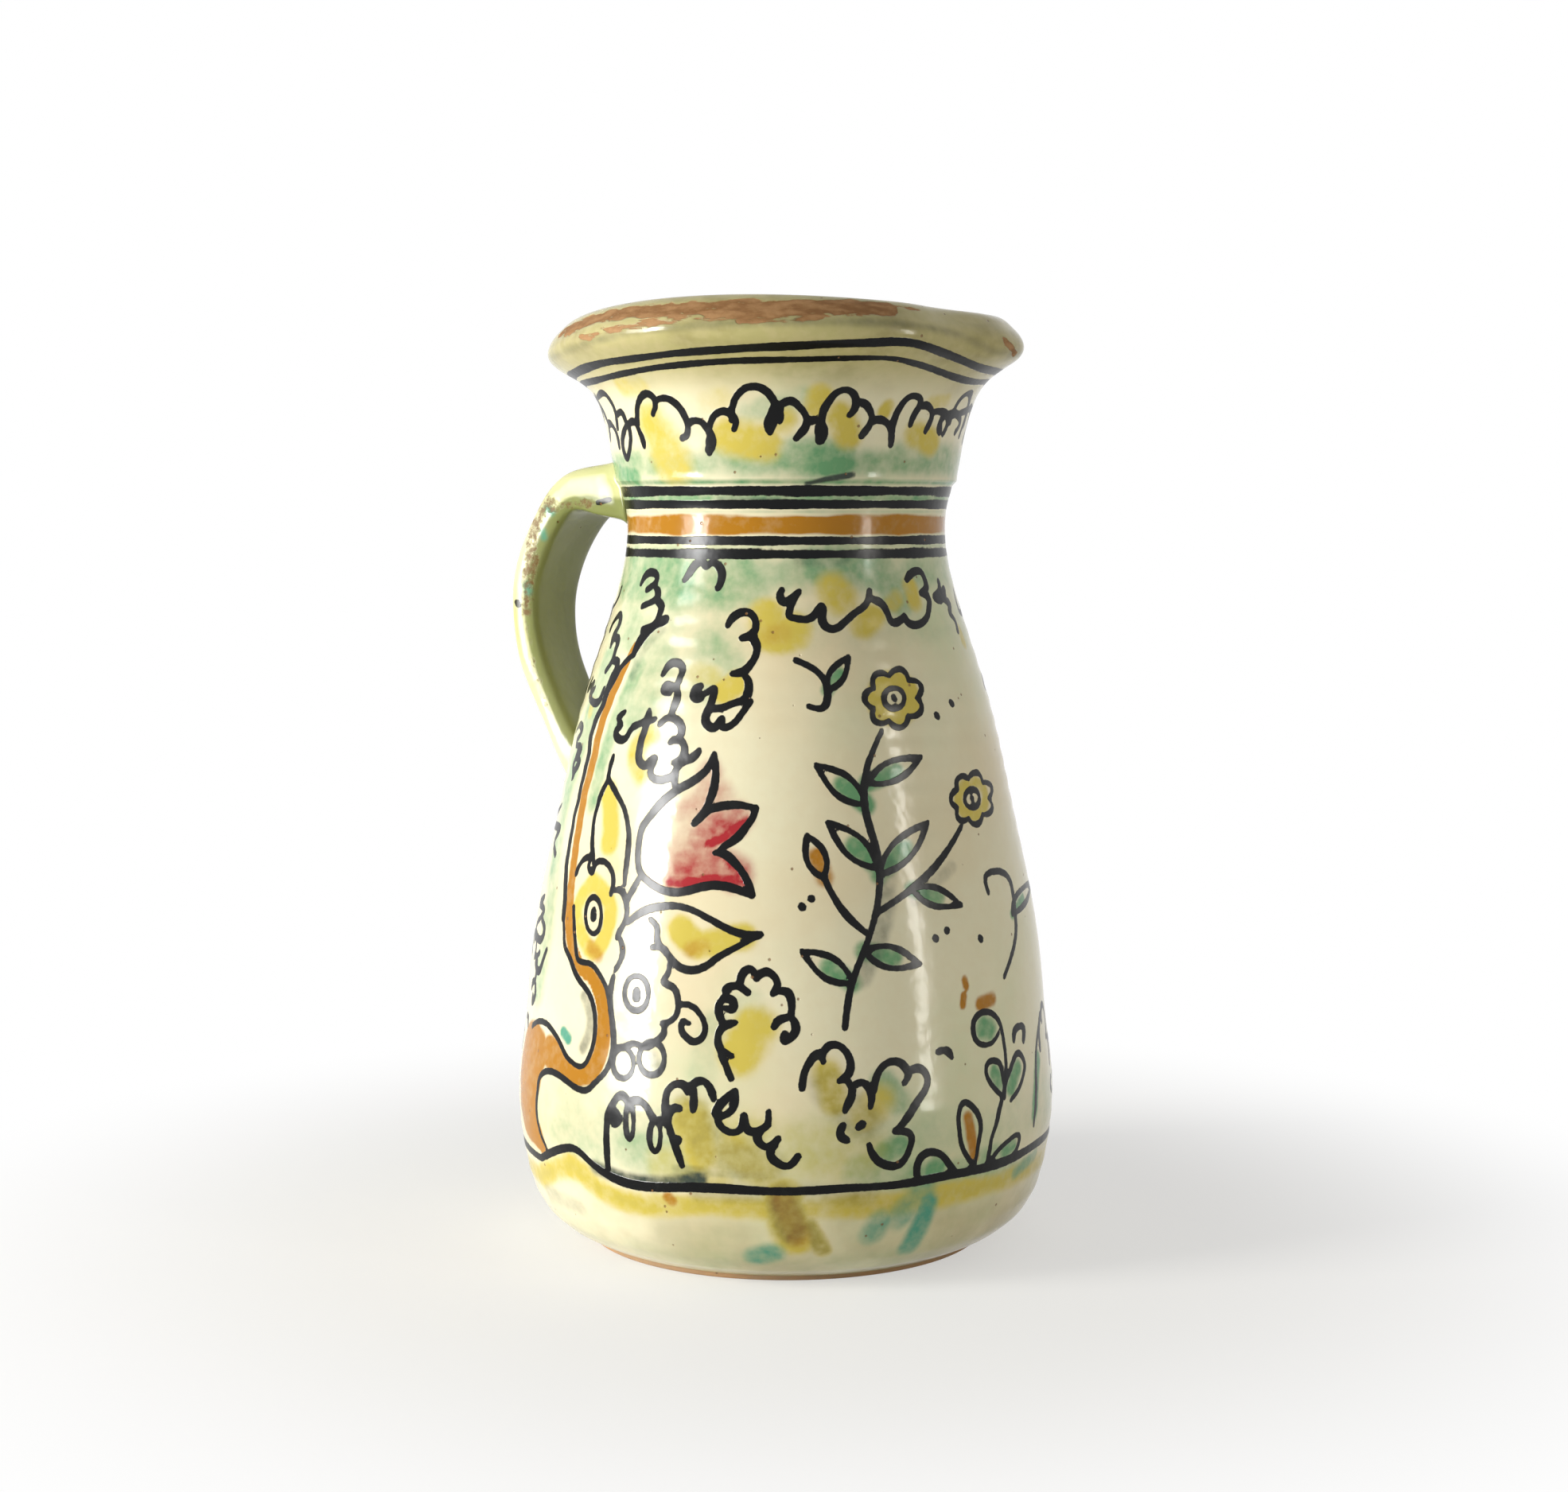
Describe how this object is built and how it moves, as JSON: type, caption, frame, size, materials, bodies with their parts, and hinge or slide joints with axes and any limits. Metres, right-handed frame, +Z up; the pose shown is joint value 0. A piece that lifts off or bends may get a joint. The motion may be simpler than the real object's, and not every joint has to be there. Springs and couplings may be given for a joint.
{
  "type": "spanish earthenware jug",
  "caption": "Wheel-thrown earthenware jug with a flared mouth, pulled pouring lip and strap handle, under a painted tin glaze.",
  "frame": {"origin": "centre of the foot's flat underside, on the plane that the jug stands on", "axes": "+Z up along the jug's axis, +X towards the pouring lip, -X towards the handle, Y across"},
  "size_m": [0.1289, 0.1234, 0.2108],
  "materials": {
    "fired_clay": "bare fired earthenware, matt and slightly gritty",
    "fired_slip": "bare fired slip, matt",
    "painted_glaze": "glossy cream tin glaze, hand painted in black, green, yellow, orange and red",
    "plain_glaze": "glossy cream tin glaze, unpainted",
    "handle_glaze": "glossy pale green glaze, worn brown along its edges"
  },
  "bodies": {
    "root": {"thrown_body": "fired_clay", "pulled_handle": "fired_clay", "upper_handle_lute": "fired_slip", "lower_handle_lute": "fired_slip", "outside_glaze": "painted_glaze", "inside_glaze": "plain_glaze", "handle_glaze": "handle_glaze"}
  },
  "joints": []
}
